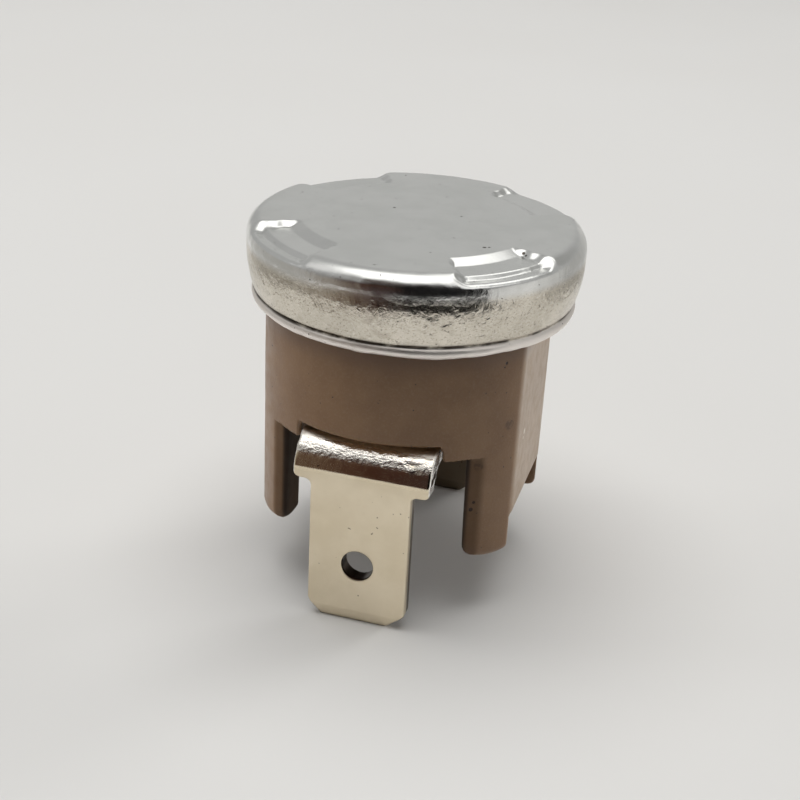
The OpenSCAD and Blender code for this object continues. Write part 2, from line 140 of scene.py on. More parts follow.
# heights between which the wall is uneven, each with a soft limit
WALL_SPAN = ((17.15, 16.8), (14.7, 15.0))
CAP_COLUMNS = 620
CAP_MARKS = 120
CAP_SEED = 7

# Staked notches: the middle of each in degrees, half its span, and its two ledges
STAKE_DIRS = (48.0, 138.0, 228.0, 318.0)
STAKE_HALF = 18.0
STAKE_R = (5.45, 6.07, 7.15, 7.35)
STAKE_END_R = 7.6
STAKE_OUT_R = 7.67
STAKE_EDGE_R = 0.3
UPPER_LEDGE = 0.25
LOWER_LEDGE = 0.42

# Kinds of row in the cap's section
TOP, WALL, BEAD, LIP, INNER, UNDER = range(6)

# Wear that the photograph shows: x, y, z and radius of each place
CAP_SPOTS = ((3.87, -2.82, 17.95, 0.10), (4.06, -2.72, 17.95, 0.07), (-1.44, 0.94, 17.95, 0.08),
             (1.84, 1.00, 17.95, 0.06), (5.58, -2.47, 17.81, 0.09), (5.72, -2.60, 17.77, 0.06))
HOUSING_PITS = ((4.71, -5.20, 6.01, 0.12), (4.81, -5.14, 6.38, 0.09), (5.63, -4.37, 13.28, 0.08),
                (5.57, -4.44, 13.10, 0.05), (-5.40, -4.64, 12.35, 0.06))
HOUSING_STAINS = ((4.90, -5.08, 8.30, 0.30), (5.93, -3.93, 10.08, 0.30))
HOUSING_CHIPS = ((6.29, -1.80, 8.80, 0.16), (6.29, -1.95, 8.52, 0.09))

# Room that the metal mirrors: azimuth from the front and elevation in degrees, the angle within
# which a patch is full and the one at which it ends, and its colour. Later ones cover earlier ones.
ROOM_TONE = (0.42, 0.42, 0.415)
ROOM_PATCHES = (
    (-165, 22, 8, 26, (0.50, 0.50, 0.49)),
    (-25, 82, 11, 36, (1.7, 1.69, 1.66)),
    (160, 57, 8, 19, (1.5, 1.49, 1.46)),
    (74, 52, 6, 22, (1.1, 1.09, 1.07)),
    (-70, 47, 6, 18, (0.80, 0.79, 0.78)),
    (145, 30, 8, 22, (0.33, 0.33, 0.32)),
    (-40, -2, 14, 38, (0.24, 0.23, 0.22)),
    (50, 0, 16, 34, (0.012, 0.011, 0.011)),
    (22, 13, 31, 47, (0.006, 0.006, 0.006)),
    (-16, 8, 10, 26, (0.046, 0.018, 0.010)),
    (-12, 45, 7, 15, (0.08, 0.06, 0.05)),
)
ROOM_LIGHT_SHARE = 0.14
BACKDROP_TONE = (0.68, 0.675, 0.665)

# Lamps: azimuth and elevation in degrees, distance and diameter in metres, power in watts
LAMPS = (
    ("softbox_over", -120, 84, 0.45, 0.50, 2.25),
    ("softbox_right", 141, 6, 2.50, 1.20, 62.0),
    ("softbox_left", -85, 8, 2.50, 1.20, 28.0),
)
LAMP_TARGET_Z = 0.01

# Low glowing card round the object, a painted reflection of the room, in metres, and its colour at
# azimuths in degrees
CARD_R = 0.041
CARD_HEIGHT = 0.024
CARD_STEPS = 72
CARD_TONES = ((-120, 0.62, 0.61, 0.59), (-95, 0.42, 0.41, 0.39), (-55, 0.38, 0.365, 0.34),
              (-32, 0.25, 0.215, 0.18), (-19, 0.13, 0.095, 0.075), (-12, 0.050, 0.020, 0.013),
              (-4, 0.048, 0.034, 0.033), (8, 0.010, 0.008, 0.008), (20, 0.004, 0.004, 0.004),
              (57, 0.004, 0.004, 0.004), (66, 0.66, 0.65, 0.63), (92, 0.72, 0.71, 0.69),
              (105, 0.56, 0.55, 0.53), (128, 0.36, 0.355, 0.34), (150, 0.46, 0.455, 0.44),
              (168, 0.62, 0.61, 0.59))

# Camera, solved from the cap's rims, the body and the tab
CAMERA_AZIMUTH = 15.2505
CAMERA_ELEVATION = 25.6654
CAMERA_ROLL = 3.1725
CAMERA_DISTANCE = 68.5848
CAMERA_TARGET_RIGHT = -0.3700
CAMERA_TARGET_Z = 8.4370
CAMERA_FOCAL_PIXELS = 1379.07
PICTURE_PIXELS = 800
SENSOR = 36.0

FLOOR_HALF = 0.6

# Noise: shifts that set its seeds and octaves apart, and the factors of its hash
SEED_SHIFT = 31.7
OCTAVE_SHIFT = 9.1
HASH_AXES = np.array([73856093, 19349663, 83492791])
HASH_MIX = 1274126177
HASH_MASK = 0x7FFFFFFF


# ---------------------------------------------------------------- noise and small helpers

def noise(points, size, seed, octaves=1):
    """Smooth noise between -1 and 1 at points in millimetres, with lumps of about size."""
    total = np.zeros(len(points))
    weight = 1.0
    norm = 0.0
    for octave in range(octaves):
        q = points / size + SEED_SHIFT * (seed + 1) + OCTAVE_SHIFT * octave
        cell = np.floor(q).astype(np.int64)
        part = q - cell
        part = part * part * (3 - 2 * part)
        value = np.zeros(len(points))
        for corner in np.ndindex(2, 2, 2):
            share = 1.0
            for axis in range(3):
                share = share * (part[:, axis] if corner[axis] else 1 - part[:, axis])
            value += share * hashed(cell + corner)
        total += weight * value
        norm += weight
        weight *= 0.5
        size *= 0.5
    return total / norm


def hashed(corner):
    """Number between -1 and 1 that belongs to each corner of the noise's grid."""
    x, y, z = (corner * HASH_AXES).T
    mix = (x ^ y ^ z) & HASH_MASK
    mix = ((mix ^ (mix >> 13)) * HASH_MIX) & HASH_MASK
    mix = mix ^ (mix >> 16)
    return (mix & 0xFFFF) / 32767.5 - 1


def smooth(value, low, high):
    """Smooth step from 0 at low to 1 at high."""
    t = np.clip((value - low) / (high - low), 0, 1)
    return t * t * (3 - 2 * t)


def within(value, span):
    """1 within a span and 0 outside it, with a soft limit at each end."""
    return smooth(value, *span[0]) * smooth(value, *span[1])


def towards(azimuth, elevation):
    """Right, up and out axes of something that stands in a direction and looks back from it."""
    a = math.radians(azimuth)
    e = math.radians(elevation)
    out = np.array([math.sin(a) * math.cos(e), -math.cos(a) * math.cos(e), math.sin(e)])
    right = np.array([math.cos(a), math.sin(a), 0.0])
    return right, np.cross(out, right), out


def pose(right, up, out, where):
    """Matrix of an object with these axes at a place in metres."""
    matrix = np.eye(4)
    matrix[:3, :3] = np.stack([right, up, out], 1)
    matrix[:3, 3] = where
    return Matrix(matrix.tolist())


def make_object(name, points, faces, material):
    """Mesh object from points in millimetres and faces, smooth shaded."""
    mesh = bpy.data.meshes.new(name)
    faces = np.asarray(faces, dtype=np.int32)
    mesh.vertices.add(len(points))
    mesh.vertices.foreach_set("co", (np.asarray(points) * MM).astype(np.float32).ravel())
    mesh.loops.add(faces.size)
    mesh.loops.foreach_set("vertex_index", faces.ravel())
    mesh.polygons.add(len(faces))
    mesh.polygons.foreach_set("loop_start", np.arange(0, faces.size, faces.shape[1]))
    mesh.polygons.foreach_set("use_smooth", np.ones(len(faces), dtype=bool))
    mesh.update(calc_edges=True)
    mesh.validate()
    mesh.materials.append(material)
    obj = bpy.data.objects.new(name, mesh)
    bpy.context.scene.collection.objects.link(obj)
    return obj


# ---------------------------------------------------------------- distance fields

def union(a, b, r=0.0):
    """Union of two distances, with a fillet of radius r."""
    if r == 0:
        return np.minimum(a, b)
    corner = np.hypot(np.maximum(r - a, 0), np.maximum(r - b, 0))
    return np.maximum(r, np.minimum(a, b)) - corner


def common(a, b, r=0.0):
    """Intersection of two distances, with the edge rounded to radius r."""
    if r == 0:
        return np.maximum(a, b)
    corner = np.hypot(np.maximum(r + a, 0), np.maximum(r + b, 0))
    return np.minimum(-r, np.maximum(a, b)) + corner


def cut(a, b, r=0.0):
    """First distance less the second."""
    return common(a, -b, r)


def surface_net(field, low, high, cell):
    """Quads round the zero level of a distance field, moved onto it and evened out."""
    axes = [np.arange(low[i], high[i] + cell, cell) for i in range(3)]
    shape = tuple(len(a) for a in axes)
    grid = np.stack(np.meshgrid(*axes, indexing="ij"), -1).reshape(-1, 3)
    values = field(grid).reshape(shape)
    inside = values < 0
    cells = (shape[0] - 1, shape[1] - 1, shape[2] - 1)
    total = np.zeros((np.prod(cells), 3))
    count = np.zeros(np.prod(cells))
    quads = []
    # each grid edge that crosses the surface gives a quad between the four cells round it
    for axis in range(3):
        first = [slice(None)] * 3
        second = [slice(None)] * 3
        first[axis] = slice(0, -1)
        second[axis] = slice(1, None)
        first = tuple(first)
        second = tuple(second)
        crossing = np.argwhere(inside[first] != inside[second])
        va = values[first][tuple(crossing.T)]
        vb = values[second][tuple(crossing.T)]
        place = crossing.astype(float)
        place[:, axis] += va / (va - vb)
        u = (axis + 1) % 3
        v = (axis + 2) % 3
        corners = []
        valid = np.ones(len(crossing), dtype=bool)
        for du, dv in ((0, 0), (-1, 0), (-1, -1), (0, -1)):
            corner = crossing.copy()
            corner[:, u] += du
            corner[:, v] += dv
            valid &= (corner >= 0).all(1) & (corner < np.array(cells)).all(1)
            corners.append(corner)
        ids = np.stack([np.ravel_multi_index(c[valid].T, cells) for c in corners], 1)
        for index in ids.T:
            np.add.at(total, index, place[valid])
            np.add.at(count, index, 1)
        inward = va[valid] >= 0
        ids[inward] = ids[inward][:, ::-1]
        quads.append(ids)
    used = np.flatnonzero(count)
    remap = np.full(len(count), -1)
    remap[used] = np.arange(len(used))
    points = total[used] / count[used][:, None] * cell + np.array([a[0] for a in axes])
    quads = remap[np.concatenate(quads)]
    for _ in range(4):
        points = onto(field, even_out(points, quads, 0.5))
    for _ in range(3):
        points = onto(field, points)
    return points, quads


def gradient(field, points, step=0.01):
    """Direction in which the distance grows."""
    slope = np.empty_like(points)
    for axis in range(3):
        shift = np.zeros(3)
        shift[axis] = step
        slope[:, axis] = field(points + shift) - field(points - shift)
    return slope / np.maximum(np.linalg.norm(slope, axis=1), 1e-9)[:, None]


def onto(field, points):
    """Points moved to the zero level."""
    return points - gradient(field, points) * np.clip(field(points), -0.1, 0.1)[:, None]


def even_out(points, quads, share):
    """Points moved a share of the way to the mean of their neighbours."""
    total = np.zeros_like(points)
    count = np.zeros(len(points))
    for i in range(4):
        a = quads[:, i]
        b = quads[:, (i + 1) % 4]
        for p, q in ((a, b), (b, a)):
            for axis in range(3):
                total[:, axis] += np.bincount(p, points[q, axis], len(points))
            count += np.bincount(p, minlength=len(points))
    return points + share * (total / count[:, None] - points)


# ---------------------------------------------------------------- materials

def colour(r, g, b):
    return (r, g, b, 1.0)


class Nodes:
    """Short way to build a node tree."""

    def __init__(self, tree):
        self.tree = tree
        self.tree.nodes.clear()

    def add(self, kind, **values):
        node = self.tree.nodes.new(kind)
        for key, value in values.items():
            setattr(node, key, value)
        return node

    def link(self, source, target):
        self.tree.links.new(source, target)

    def socket(self, target, value):
        """Link a socket to the target, or give it a plain value."""
        if hasattr(value, "is_linked"):
            self.link(value, target)
        else:
            target.default_value = value

    def ramp(self, value, low, high, start=0.0, end=1.0, kind="SMOOTHSTEP"):
        """Value taken from start at low to end at high."""
        node = self.add("ShaderNodeMapRange", interpolation_type=kind)
        self.link(value, node.inputs["Value"])
        node.inputs["From Min"].default_value = low
        node.inputs["From Max"].default_value = high
        node.inputs["To Min"].default_value = start
        node.inputs["To Max"].default_value = end
        return node.outputs[0]

    def math(self, operation, a, b=0.0):
        node = self.add("ShaderNodeMath", operation=operation)
        self.socket(node.inputs[0], a)
        self.socket(node.inputs[1], b)
        return node.outputs[0]

    def times(self, a, b):
        return self.math("MULTIPLY", a, b)

    def larger(self, a, b):
        return self.math("MAXIMUM", a, b)

    def length(self, a, b):
        """Length of a line that runs a across and b up."""
        return self.math("SQRT", self.math("ADD", self.times(a, a), self.times(b, b)))

    def mix(self, factor, a, b):
        """Colour a where the factor is 0 and colour b where it is 1."""
        node = self.add("ShaderNodeMix", data_type="RGBA")
        self.socket(node.inputs[0], factor)
        self.socket(node.inputs[6], a)
        self.socket(node.inputs[7], b)
        return node.outputs[2]


class Surface(Nodes):
    """Material with noise, spots and bands placed by the object's own coordinates."""

    def __init__(self, name):
        self.material = bpy.data.materials.new(name)
        self.material.use_nodes = True
        super().__init__(self.material.node_tree)
        self.shader = self.add("ShaderNodeBsdfPrincipled")
        output = self.add("ShaderNodeOutputMaterial")
        self.link(self.shader.outputs[0], output.inputs[0])
        self.place = self.add("ShaderNodeTexCoord").outputs["Object"]

    def plain(self, **values):
        """Give the shader's sockets plain values. _ stands for a space in their names."""
        for key, value in values.items():
            self.shader.inputs[key.replace("_", " ")].default_value = value

    def finish(self, tone, rough, normal):
        """Link the shader's colour, roughness and normal, and return the material."""
        self.link(tone, self.shader.inputs["Base Color"])
        self.link(rough, self.shader.inputs["Roughness"])
        self.link(normal, self.shader.inputs["Normal"])
        return self.material

    def axes(self):
        """The object's own x, y and z."""
        node = self.add("ShaderNodeSeparateXYZ")
        self.link(self.place, node.inputs[0])
        return node.outputs

    def noise(self, size_mm, detail=3.0, rough=0.55, stretch=(1, 1, 1), shift=(0, 0, 0)):
        mapping = self.add("ShaderNodeMapping")
        self.link(self.place, mapping.inputs["Vector"])
        mapping.inputs["Location"].default_value = shift
        mapping.inputs["Scale"].default_value = [1000.0 / size_mm * s for s in stretch]
        node = self.add("ShaderNodeTexNoise")
        self.link(mapping.outputs[0], node.inputs["Vector"])
        node.inputs["Scale"].default_value = 1.0
        node.inputs["Detail"].default_value = detail
        node.inputs["Roughness"].default_value = rough
        return node.outputs["Fac"]

    def band(self, place, low, high, start=0.0, end=1.0):
        """Value taken from start at low to end at high, both in millimetres."""
        return self.ramp(place, low * MM, high * MM, start, end)

    def spots(self, places):
        """1 within each small spot, given as x, y, z and radius in millimetres, 0 elsewhere."""
        total = 0.0
        for x, y, z, r in places:
            node = self.add("ShaderNodeVectorMath", operation="DISTANCE")
            self.link(self.place, node.inputs[0])
            node.inputs[1].default_value = (x * MM, y * MM, z * MM)
            near = self.band(node.outputs["Value"], r * 1.1, r * 0.6)
            total = self.larger(near, total)
        return total

    def bump(self, height, depth_mm, normal=None):
        node = self.add("ShaderNodeBump")
        node.inputs["Distance"].default_value = depth_mm * MM
        node.inputs["Strength"].default_value = 1.0
        self.link(height, node.inputs["Height"])
        if normal is not None:
            self.link(normal, node.inputs["Normal"])
        return node.outputs[0]


def cap_metal():
    """Satin top, and a worn, grainy and creased wall over a rolled bead made pale as a painted
    highlight.
    """
    n = Surface("cap_metal")
    n.plain(Metallic=1.0)
    z = n.axes()["Z"]
    # where things are: the wall, the bead, and the shoulder's uneven patches
    low = n.band(z, 17.1, 16.6)
    below = n.times(n.band(z, 17.00, 16.35), n.band(z, 14.55, 14.70))
    shoulder = n.times(n.band(z, 17.85, 17.40),
                       n.ramp(n.noise(1.6, 2.0, shift=(4, 1, 9)), 0.35, 0.65))
    spread = n.larger(below, n.times(shoulder, 0.60))
    # colour of the top and of the wall, with dark and pale grain and dirty patches on the wall
    cloud = n.ramp(n.noise(2.6, 4.0), 0.35, 0.65)
    top = n.mix(cloud, colour(0.79, 0.795, 0.775), colour(0.84, 0.842, 0.825))
    wall = n.mix(cloud, colour(0.655, 0.610, 0.525), colour(0.76, 0.71, 0.62))
    dark = n.noise(0.11, 3.0, stretch=(1, 1, 1.5), shift=(6, 2, 6))
    wall = n.mix(n.ramp(dark, 0.52, 0.70, 0.0, 0.6), wall, colour(0.33, 0.29, 0.23))
    pale = n.noise(0.13, 3.0, stretch=(1, 1, 1.5), shift=(1, 8, 3))
    wall = n.mix(n.ramp(pale, 0.55, 0.72, 0.0, 0.55), wall, colour(0.93, 0.90, 0.84))
    dirty = n.noise(0.8, 3.0, stretch=(1, 1, 1.4), shift=(3, 6, 1))
    wall = n.mix(n.ramp(dirty, 0.52, 0.68, 0.0, 0.38), wall, colour(0.40, 0.36, 0.29))
    tone = n.mix(low, top, wall)
    # painted highlight: the bead's colour is made pale
    tone = n.mix(n.band(z, 14.62, 14.54), tone, colour(0.95, 0.90, 0.855))
    # dark specks and dots, the spots of wear, and painted shade in the crease over the bead
    speck = n.times(n.ramp(n.noise(0.22, 1.0, shift=(3, 1, 5)), 0.77, 0.80), 0.7)
    dots = n.times(n.ramp(n.noise(0.14, 2.0, shift=(5, 5, 1)), 0.63, 0.72), below)
    speck = n.larger(speck, n.times(dots, 0.60))
    speck = n.larger(speck, n.spots(CAP_SPOTS))
    # painted shade: the crease over the bead is darkened in patches
    crease = n.times(n.band(z, 14.80, 14.66), n.band(z, 14.52, 14.60))
    crease = n.times(crease, n.ramp(n.noise(1.1, 3.0, shift=(1, 7, 2)), 0.32, 0.55))
    tone = n.mix(n.larger(speck, crease), tone, colour(0.10, 0.085, 0.07))
    rough = n.ramp(n.noise(0.9, 4.0, shift=(4, 4, 1)), 0.3, 0.7, 0.19, 0.26)
    rough = n.math("ADD", rough, n.times(n.band(z, 14.66, 14.56), 0.28))
    # satin all over, then grain, ripples and fine lines on the wall
    normal = n.bump(n.noise(0.16, 3.0), 0.0012)
    grain = n.times(n.noise(0.15, 4.0, shift=(2, 2, 2)), spread)
    normal = n.bump(grain, 0.016, normal)
    ripple = n.times(n.noise(0.45, 3.0, stretch=(1, 1, 0.6), shift=(7, 2, 3)), spread)
    normal = n.bump(ripple, 0.050, normal)
    line = n.math("ABSOLUTE", n.math("SUBTRACT", n.noise(0.9, 2.0, shift=(9, 9, 2)), 0.5))
    line = n.times(n.ramp(line, 0.045, 0.005), n.ramp(n.noise(0.6, 2.0), 0.48, 0.66))
    normal = n.bump(n.times(line, below), 0.012, normal)
    return n.finish(tone, rough, normal)


def housing_plastic():
    """Brown moulded plastic with pits, stains and chips, paler flats as a painted sheen, and
    painted shade that darkens the slots, the wall under the cap's bead and, with a darker finish,
    the facets.
    """
    n = Surface("housing_plastic")
    n.plain(Specular_IOR_Level=0.45)
    x, y, z = n.axes()
    # where things are: the feet's facets beside the terminals, their slots, and the pits
    out_x = n.math("ABSOLUTE", x)
    out_y = n.math("ABSOLUTE", y)
    facet = n.times(n.band(out_x, 5.30, 4.90), n.band(z, 8.72, 8.66))
    facet = n.times(facet, n.band(out_y, 4.7, 4.9))
    slot = n.times(n.band(out_x, 4.66, 4.44), n.band(z, 8.68, 8.62))
    pits = n.spots(HOUSING_PITS)
    # colour, with fine grain and specks, flats paler as a painted sheen, and facets and slots
    # darkened
    fine = n.noise(0.10, 3.0)
    tone = n.mix(n.ramp(n.noise(2.2, 4.0), 0.3, 0.7),
                 colour(0.196, 0.105, 0.048), colour(0.234, 0.132, 0.063))
    tone = n.mix(n.ramp(fine, 0.45, 0.75, 0.0, 0.14), tone, colour(0.34, 0.25, 0.17))
    speck = n.ramp(n.noise(0.22, 1.0, shift=(8, 3, 5)), 0.76, 0.79)
    tone = n.mix(speck, tone, colour(0.05, 0.035, 0.028))
    # painted sheen: the flats are made paler
    tone = n.mix(n.band(out_x, 6.16, 6.285, 0.0, 0.24), tone, colour(0.44, 0.38, 0.28))
    # the facets are darkened partly as a darker, rougher finish and partly as painted shade; the
    # slots are darkened as painted shade
    tone = n.mix(n.times(facet, 0.60), tone, colour(0.06, 0.035, 0.020))
    tone = n.mix(n.times(slot, 0.9), tone, colour(0.025, 0.014, 0.008))
    # painted shade under the cap's bead, darker towards the bead
    tone = n.mix(n.band(z, 12.7, 14.1, 0.0, 0.85), tone, colour(0.10, 0.055, 0.034))
    stained = n.times(n.spots(HOUSING_STAINS), n.ramp(n.noise(0.3, 2.0), 0.4, 0.6, 0.1, 0.5))
    tone = n.mix(n.larger(stained, pits), tone, colour(0.035, 0.018, 0.010))
    tone = n.mix(n.spots(HOUSING_CHIPS), tone, colour(0.60, 0.56, 0.48))
    rough = n.ramp(n.noise(0.6, 4.0, shift=(5, 1, 2)), 0.3, 0.7, 0.28, 0.38)
    rough = n.math("ADD", rough, n.times(n.larger(facet, slot), 0.45))
    normal = n.bump(fine, 0.004)
    normal = n.bump(n.noise(0.7, 3.0, shift=(2, 9, 4)), 0.008, normal)
    normal = n.bump(n.math("SUBTRACT", 0.0, pits), 0.04, normal)
    return n.finish(tone, rough, normal)


def terminal_metal():
    """Brushed plated brass, polished and crumpled round the bend, with painted shade on its inner
    side and in its hole, and painted highlights round the bend and on its sheared edges.
    """
    n = Surface("terminal_metal")
    n.plain(Metallic=1.0)
    x, y, z = n.axes()
    # distances from the line that the bend turns round, and from the middle of the tab's hole
    out = n.larger(n.math("SUBTRACT", n.math("ABSOLUTE", y), BEND_Y * MM), 0.0)
    over = n.larger(n.math("SUBTRACT", z, BEND_S * MM), 0.0)
    reach = n.length(out, over)
    hole = n.length(x, n.math("SUBTRACT", z, TAB_HOLE_S * MM))
    in_hole = n.band(hole, 0.79, 0.77)
    # colour, with specks, painted shade on the inner side and in the hole, a painted highlight
    # round the bend, and sheared edges that are paler, partly as a painted highlight
    tone = n.mix(n.ramp(n.noise(2.0, 4.0), 0.3, 0.7),
                 colour(0.77, 0.670, 0.50), colour(0.84, 0.740, 0.57))
    speck = n.ramp(n.noise(0.25, 1.0, shift=(2, 3, 8)), 0.76, 0.79)
    tone = n.mix(n.times(speck, 0.7), tone, colour(0.14, 0.09, 0.05))
    # painted shade: the inner side and the hole are darkened
    inner = n.larger(n.band(reach, 1.05, 0.90), in_hole)
    tone = n.mix(n.times(inner, 0.88), tone, colour(0.075, 0.048, 0.027))
    tone = n.mix(in_hole, tone, colour(0.035, 0.022, 0.014))
    # painted highlight: the bend's outer face is made near white
    bright = n.times(n.band(z, 8.35, 8.60), n.band(reach, 1.20, 1.30))
    tone = n.mix(n.times(bright, 0.9), tone, colour(0.99, 0.96, 0.91))
    # sheared edges made near white, partly as paler sheared metal and partly as a painted highlight
    sheared = n.times(n.band(n.math("ABSOLUTE", x), 3.18, 3.23), n.band(z, 7.3, 7.6))
    tone = n.mix(sheared, tone, colour(0.97, 0.95, 0.91))
    rough = n.ramp(n.noise(0.5, 4.0, shift=(6, 1, 2)), 0.3, 0.7, 0.30, 0.38)
    rough = n.math("SUBTRACT", rough, n.times(n.band(z, 7.7, 8.0), 0.20))
    rough = n.math("ADD", rough, n.band(z, 9.00, 9.18, 0.0, 0.24))
    # brushed along the tab, slightly wavy, and crumpled round the bend
    normal = n.bump(n.noise(0.06, 3.0, stretch=(1, 1, 0.25)), 0.002)
    normal = n.bump(n.noise(0.35, 3.0), 0.006, normal)
    torn = n.times(n.band(z, 8.38, 8.56), n.band(z, 9.10, 8.80, 0.3, 1.0))
    crumpled = n.times(n.noise(0.13, 3.0, stretch=(0.5, 1, 1), shift=(1, 4, 4)), torn)
    normal = n.bump(crumpled, 0.044, normal)
    return n.finish(tone, rough, normal)


def simple_metal(name, low, high, rough):
    """Plain metal with cloudy colour, fine scratches and uneven gloss."""
    n = Surface(name)
    n.plain(Metallic=1.0)
    return n.finish(n.mix(n.ramp(n.noise(1.2, 4.0), 0.3, 0.7), colour(*low), colour(*high)),
                    n.ramp(n.noise(0.5, 4.0), 0.3, 0.7, rough - 0.05, rough + 0.07),
                    n.bump(n.noise(0.08, 3.0, stretch=(1, 0.2, 1)), 0.002))


def simple_solid(name, low, high, rough, grain):
    """Plain ceramic or moulded plastic with a fine grain."""
    n = Surface(name)
    return n.finish(n.mix(n.ramp(n.noise(1.5, 4.0), 0.3, 0.7), colour(*low), colour(*high)),
                    n.ramp(n.noise(0.4, 4.0), 0.3, 0.7, rough - 0.06, rough + 0.06),
                    n.bump(n.noise(0.12, 3.0), grain))


MATERIALS = {
    "cap": cap_metal(),
    "housing": housing_plastic(),
    "terminal": terminal_metal(),
    "bimetal_disc": simple_metal("disc_metal", (0.50, 0.47, 0.42), (0.60, 0.56, 0.50), 0.35),
    "contact_arm": simple_metal("arm_metal", (0.72, 0.46, 0.26), (0.80, 0.54, 0.32), 0.30),
    "contact": simple_metal("contact_metal", (0.84, 0.83, 0.80), (0.92, 0.91, 0.88), 0.25),
    "contact_plate": simple_metal("plate_metal", (0.74, 0.60, 0.33), (0.82, 0.68, 0.40), 0.30),
    "rivet": simple_metal("rivet_metal", (0.70, 0.64, 0.52), (0.78, 0.72, 0.60), 0.32),
    "pin_guide": simple_solid("guide_plastic", (0.56, 0.49, 0.36), (0.64, 0.57, 0.44), 0.5, 0.006),
    "transfer_pin": simple_solid("pin_ceramic", (0.78, 0.76, 0.70), (0.84, 0.82, 0.77), 0.4, 0.003),
}

# CAD node and the material that it wears
NODE_MATERIALS = {
    "bimetal_disc": "bimetal_disc",
    "pin_guide": "pin_guide",
    "transfer_pin": "transfer_pin",
    "contact_arm": "contact_arm",
    "moving_contact": "contact",
    "fixed_contact": "contact",
    "contact_plate": "contact_plate",
    "rivet_front": "rivet",
    "rivet_rear": "rivet",
    "cap": "cap",
    "housing": "housing",
    "terminal_front": "terminal",
    "terminal_rear": "terminal",
}


# ---------------------------------------------------------------- cap

def notch_profile():
    """Radius and height of a notch's two ledges, with the corners eased as in drawn sheet."""
    step = 0.004
    ease = 0.035
    reach = 30
    r = np.arange(5.0, CAP_R, step)
    upper = CAP_TOP - UPPER_LEDGE
    lower = CAP_TOP - LOWER_LEDGE
    z = np.interp(r, STAKE_R + (STAKE_OUT_R,), [CAP_TOP, upper, upper, lower, lower])
    kernel = np.exp(-0.5 * (np.arange(-reach, reach + 1) * step / ease) ** 2)
    eased = np.convolve(np.pad(z, reach, mode="edge"), kernel / kernel.sum(), mode="valid")
    eased = np.where(r > STAKE_END_R, z, eased)
    # the outer edge is rounded over
    over = np.clip(r - STAKE_OUT_R, 0, STAKE_EDGE_R)
    return r, eased - (STAKE_EDGE_R - np.sqrt(np.maximum(STAKE_EDGE_R ** 2 - over * over, 0)))


def cap_columns(count):
    """Angles round the cap, closer together at the ends of the notches."""
    fine = np.linspace(0, 360, 7201)
    density = np.ones_like(fine)
    for middle in STAKE_DIRS:
        for end in (-STAKE_HALF, STAKE_HALF):
            away = (fine - middle - end + 180) % 360 - 180
            density += 3.0 * np.exp(-(away / 2.4) ** 2)
    run = np.concatenate([[0], np.cumsum(0.5 * (density[1:] + density[:-1]))])
    return np.interp(np.arange(count) / count * run[-1], run, fine)


def in_notch(angle, radius):
    """1 inside a notch and 0 outside it. The ends slope more towards the rim."""
    share = np.zeros_like(angle)
    width = 0.19 + 0.19 * smooth(radius, 6.2, 7.7)
    for k, middle in enumerate(STAKE_DIRS):
        away = (angle - middle + 180) % 360 - 180
        inside = (STAKE_HALF - np.abs(away)) * math.pi / 180 * radius
        inside += 0.03 * np.sin(radius * 9 + k * 2 + 3 * np.sign(away))
        share = np.maximum(share, smooth(inside, -width, width))
    return share


def cap_rows():
    """Rows of the cap's section: outer face from the middle out and down, then inner face."""
    edge_r = CAP_R - CAP_EDGE_R
    edge_z = CAP_TOP - CAP_EDGE_R
    rows = [(TOP, r, CAP_TOP) for r in (0.6, 1.5, 2.6, 3.6, 4.4, 4.9, 5.15, 5.3)]
    rows += [(TOP, r, CAP_TOP) for r in np.arange(5.38, 7.1, 0.045)]
    for a in np.radians(np.linspace(2, 90, 30)):
        rows.append((TOP, edge_r + CAP_EDGE_R * math.sin(a), edge_z + CAP_EDGE_R * math.cos(a)))
    rows += [(WALL, CAP_R, z) for z in np.linspace(17.0, CURL_Z, 7)]
    outer = CURL_R + SHEET
    for z in np.linspace(16.4, 14.68, 20):
        rows.append((WALL, CURL_X + math.sqrt(outer ** 2 - (CURL_Z - z) ** 2), z))
    for a in np.radians(np.linspace(50, -90, 15)):
        rows.append((BEAD, BEAD_X + BEAD_R * math.cos(a), BEAD_Z + BEAD_R * math.sin(a)))
    rows.append((BEAD, 7.28, BEAD_Z - BEAD_R))
    rows.append((LIP, 7.19, 14.06))
    rows += [(LIP, LIP_R, z) for z in (14.10, 14.35, 14.6)]
    for z in np.linspace(14.75, CURL_Z, 8):
        rows.append((INNER, CURL_X + math.sqrt(CURL_R ** 2 - (CURL_Z - z) ** 2), z))
    rows.append((INNER, CAP_R - SHEET, 16.9))
    inner_r = CAP_EDGE_R - SHEET
    for a in np.radians(np.linspace(90, 10, 6)):
        rows.append((UNDER, edge_r + inner_r * math.sin(a), edge_z + inner_r * math.cos(a)))
    rows += [(UNDER, r, CAP_TOP - SHEET)
             for r in (7.1, 6.9, 6.6, 6.3, 6.07, 5.8, 5.45, 5.0, 3.5, 1.5)]
    return rows


